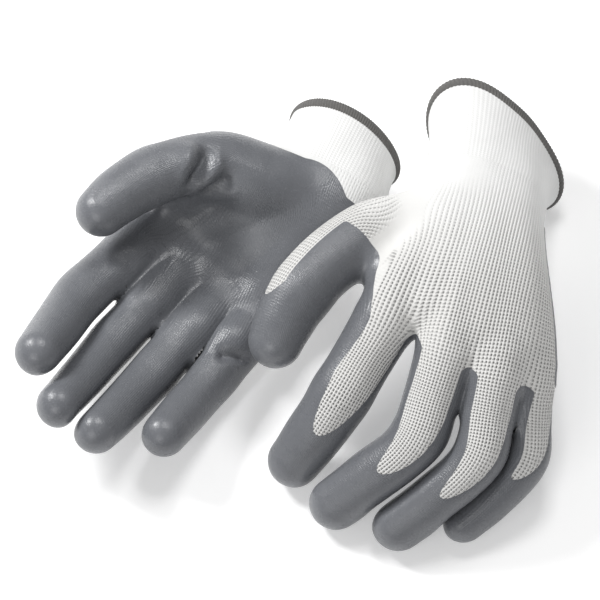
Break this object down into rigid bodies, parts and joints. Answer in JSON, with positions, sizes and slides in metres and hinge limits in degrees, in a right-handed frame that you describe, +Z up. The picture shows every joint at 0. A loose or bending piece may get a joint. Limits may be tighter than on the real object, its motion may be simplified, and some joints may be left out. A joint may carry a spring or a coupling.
{
  "type": "work gloves",
  "caption": "Pair of stretch-knit work gloves with rubber-dipped palms, finger sides and fingertips and elastic overlocked cuffs, shaped as if worn, one palm up and one palm down.",
  "frame": {"origin": "on the table, under the middle of the pair's bounding box", "axes": "+Z up; +X from the palm-up right glove towards the palm-down left glove; +Y from the fingertips towards the cuffs"},
  "size_m": [0.245, 0.2158, 0.0713],
  "materials": {
    "liner": "white knitted nylon",
    "coating": "grey nitrile, satin",
    "cuff": "white elastic rib knit",
    "hem": "dark grey overlock stitching"
  },
  "bodies": {
    "right_glove": {"right_hand_liner": "liner", "right_palm_coating": "coating", "right_cuff": "cuff", "right_cuff_hem": "hem"},
    "right_thumb_base": {"right_thumb_base_liner": "liner", "right_thumb_base_coating": "coating"},
    "right_thumb_tip": {"right_thumb_tip_liner": "liner", "right_thumb_tip_coating": "coating"},
    "right_index_base": {"right_index_base_liner": "liner", "right_index_base_coating": "coating"},
    "right_index_tip": {"right_index_tip_liner": "liner", "right_index_tip_coating": "coating"},
    "right_middle_base": {"right_middle_base_liner": "liner", "right_middle_base_coating": "coating"},
    "right_middle_tip": {"right_middle_tip_liner": "liner", "right_middle_tip_coating": "coating"},
    "right_ring_base": {"right_ring_base_liner": "liner", "right_ring_base_coating": "coating"},
    "right_ring_tip": {"right_ring_tip_liner": "liner", "right_ring_tip_coating": "coating"},
    "right_little_base": {"right_little_base_liner": "liner", "right_little_base_coating": "coating"},
    "right_little_tip": {"right_little_tip_liner": "liner", "right_little_tip_coating": "coating"},
    "left_glove": {"left_hand_liner": "liner", "left_palm_coating": "coating", "left_cuff": "cuff", "left_cuff_hem": "hem"},
    "left_thumb_base": {"left_thumb_base_liner": "liner", "left_thumb_base_coating": "coating"},
    "left_thumb_tip": {"left_thumb_tip_liner": "liner", "left_thumb_tip_coating": "coating"},
    "left_index_base": {"left_index_base_liner": "liner", "left_index_base_coating": "coating"},
    "left_index_tip": {"left_index_tip_liner": "liner", "left_index_tip_coating": "coating"},
    "left_middle_base": {"left_middle_base_liner": "liner", "left_middle_base_coating": "coating"},
    "left_middle_tip": {"left_middle_tip_liner": "liner", "left_middle_tip_coating": "coating"},
    "left_ring_base": {"left_ring_base_liner": "liner", "left_ring_base_coating": "coating"},
    "left_ring_tip": {"left_ring_tip_liner": "liner", "left_ring_tip_coating": "coating"},
    "left_little_base": {"left_little_base_liner": "liner", "left_little_base_coating": "coating"},
    "left_little_tip": {"left_little_tip_liner": "liner", "left_little_tip_coating": "coating"}
  },
  "joints": [
    {"name": "left_lift", "type": "slide", "parent": "right_glove", "child": "left_glove", "axis": [0, 0, 1], "range_m": [0, 0.15]},
    {"name": "right_thumb_root", "type": "hinge", "parent": "right_glove", "child": "right_thumb_base", "pos_m": [-0.03219, 0.0628, 0.05], "axis": [0.3482, -0.3482, 0.8704], "range_deg": [-20, 12], "stiffness_Nm_per_rad": 0.12},
    {"name": "right_thumb_middle", "type": "hinge", "parent": "right_thumb_base", "child": "right_thumb_tip", "pos_m": [-0.06319, 0.0518, 0.058], "axis": [0.3482, -0.3482, 0.8704], "range_deg": [-24, 14.4], "stiffness_Nm_per_rad": 0.08},
    {"name": "right_index_root", "type": "hinge", "parent": "right_glove", "child": "right_index_base", "pos_m": [-0.08069, 0.02092, 0.02425], "axis": [-0.7111, 0.6824, 0.1692], "range_deg": [-12, 20], "stiffness_Nm_per_rad": 0.12},
    {"name": "right_index_middle", "type": "hinge", "parent": "right_index_base", "child": "right_index_tip", "pos_m": [-0.09419, 0.0063, 0.0265], "axis": [-0.783, 0.5825, 0.2183], "range_deg": [-14.4, 24], "stiffness_Nm_per_rad": 0.08},
    {"name": "right_middle_root", "type": "hinge", "parent": "right_glove", "child": "right_middle_base", "pos_m": [-0.06569, 0.00595, 0.01715], "axis": [-0.7576, 0.6286, 0.1758], "range_deg": [-12, 20], "stiffness_Nm_per_rad": 0.12},
    {"name": "right_middle_middle", "type": "hinge", "parent": "right_middle_base", "child": "right_middle_tip", "pos_m": [-0.07919, -0.0107, 0.0185], "axis": [-0.7941, 0.5697, 0.2119], "range_deg": [-14.4, 24], "stiffness_Nm_per_rad": 0.08},
    {"name": "right_ring_root", "type": "hinge", "parent": "right_glove", "child": "right_ring_base", "pos_m": [-0.04994, -0.00985, 0.01366], "axis": [-0.7733, 0.6081, 0.1795], "range_deg": [-12, 20], "stiffness_Nm_per_rad": 0.12},
    {"name": "right_ring_middle", "type": "hinge", "parent": "right_ring_base", "child": "right_ring_tip", "pos_m": [-0.06119, -0.0247, 0.0155], "axis": [-0.7538, 0.6312, 0.1827], "range_deg": [-14.4, 24], "stiffness_Nm_per_rad": 0.08},
    {"name": "right_little_root", "type": "hinge", "parent": "right_glove", "child": "right_little_base", "pos_m": [-0.02832, -0.01468, 0.01146], "axis": [-0.7965, 0.5777, 0.1784], "range_deg": [-12, 20], "stiffness_Nm_per_rad": 0.12},
    {"name": "right_little_middle", "type": "hinge", "parent": "right_little_base", "child": "right_little_tip", "pos_m": [-0.03619, -0.0257, 0.012], "axis": [-0.77, 0.6089, 0.1906], "range_deg": [-14.4, 24], "stiffness_Nm_per_rad": 0.08},
    {"name": "left_thumb_root", "type": "hinge", "parent": "left_glove", "child": "left_thumb_base", "pos_m": [0.03081, 0.0228, 0.055], "axis": [0.4605, -0.4702, 0.7529], "range_deg": [-22, 4], "stiffness_Nm_per_rad": 0.12},
    {"name": "left_thumb_middle", "type": "hinge", "parent": "left_thumb_base", "child": "left_thumb_tip", "pos_m": [0.00181, -0.0032, 0.0565], "axis": [0.4605, -0.4702, 0.7529], "range_deg": [-26.4, 4.8], "stiffness_Nm_per_rad": 0.08},
    {"name": "left_index_root", "type": "hinge", "parent": "left_glove", "child": "left_index_base", "pos_m": [0.03291, -0.0348, 0.0452], "axis": [0.893, -0.4136, -0.1774], "range_deg": [-32, 0], "stiffness_Nm_per_rad": 0.12},
    {"name": "left_index_middle", "type": "hinge", "parent": "left_index_base", "child": "left_index_tip", "pos_m": [0.02481, -0.0492, 0.038], "axis": [0.7876, -0.1434, -0.5993], "range_deg": [-38.4, 0], "stiffness_Nm_per_rad": 0.08},
    {"name": "left_middle_root", "type": "hinge", "parent": "left_glove", "child": "left_middle_base", "pos_m": [0.06221, -0.05155, 0.04455], "axis": [0.9603, -0.2606, -0.099], "range_deg": [-32, 0], "stiffness_Nm_per_rad": 0.12},
    {"name": "left_middle_middle", "type": "hinge", "parent": "left_middle_base", "child": "left_middle_tip", "pos_m": [0.05681, -0.0682, 0.036], "axis": [0.52, 0.2507, -0.8166], "range_deg": [-38.4, 0], "stiffness_Nm_per_rad": 0.08},
    {"name": "left_ring_root", "type": "hinge", "parent": "left_glove", "child": "left_ring_base", "pos_m": [0.08596, -0.0588, 0.04275], "axis": [0.9808, -0.1828, -0.0678], "range_deg": [-32, 0], "stiffness_Nm_per_rad": 0.12},
    {"name": "left_ring_middle", "type": "hinge", "parent": "left_ring_base", "child": "left_ring_tip", "pos_m": [0.08281, -0.0732, 0.036], "axis": [0.4453, 0.2983, -0.8442], "range_deg": [-38.4, 0], "stiffness_Nm_per_rad": 0.08},
    {"name": "left_little_root", "type": "hinge", "parent": "left_glove", "child": "left_little_base", "pos_m": [0.10343, -0.0586, 0.0342], "axis": [0.9956, -0.0929, 0.0071], "range_deg": [-32, 0], "stiffness_Nm_per_rad": 0.12},
    {"name": "left_little_middle", "type": "hinge", "parent": "left_little_base", "child": "left_little_tip", "pos_m": [0.10231, -0.0712, 0.027], "axis": [0.4114, 0.4242, -0.8067], "range_deg": [-38.4, 0], "stiffness_Nm_per_rad": 0.08}
  ],
  "couplings": [
    {"joint": "right_thumb_middle", "follows": "right_thumb_root", "ratio": 1.2},
    {"joint": "right_index_middle", "follows": "right_index_root", "ratio": 1.2},
    {"joint": "right_middle_middle", "follows": "right_middle_root", "ratio": 1.2},
    {"joint": "right_ring_middle", "follows": "right_ring_root", "ratio": 1.2},
    {"joint": "right_little_middle", "follows": "right_little_root", "ratio": 1.2},
    {"joint": "left_thumb_middle", "follows": "left_thumb_root", "ratio": 1.2},
    {"joint": "left_index_middle", "follows": "left_index_root", "ratio": 1.2},
    {"joint": "left_middle_middle", "follows": "left_middle_root", "ratio": 1.2},
    {"joint": "left_ring_middle", "follows": "left_ring_root", "ratio": 1.2},
    {"joint": "left_little_middle", "follows": "left_little_root", "ratio": 1.2}
  ]
}
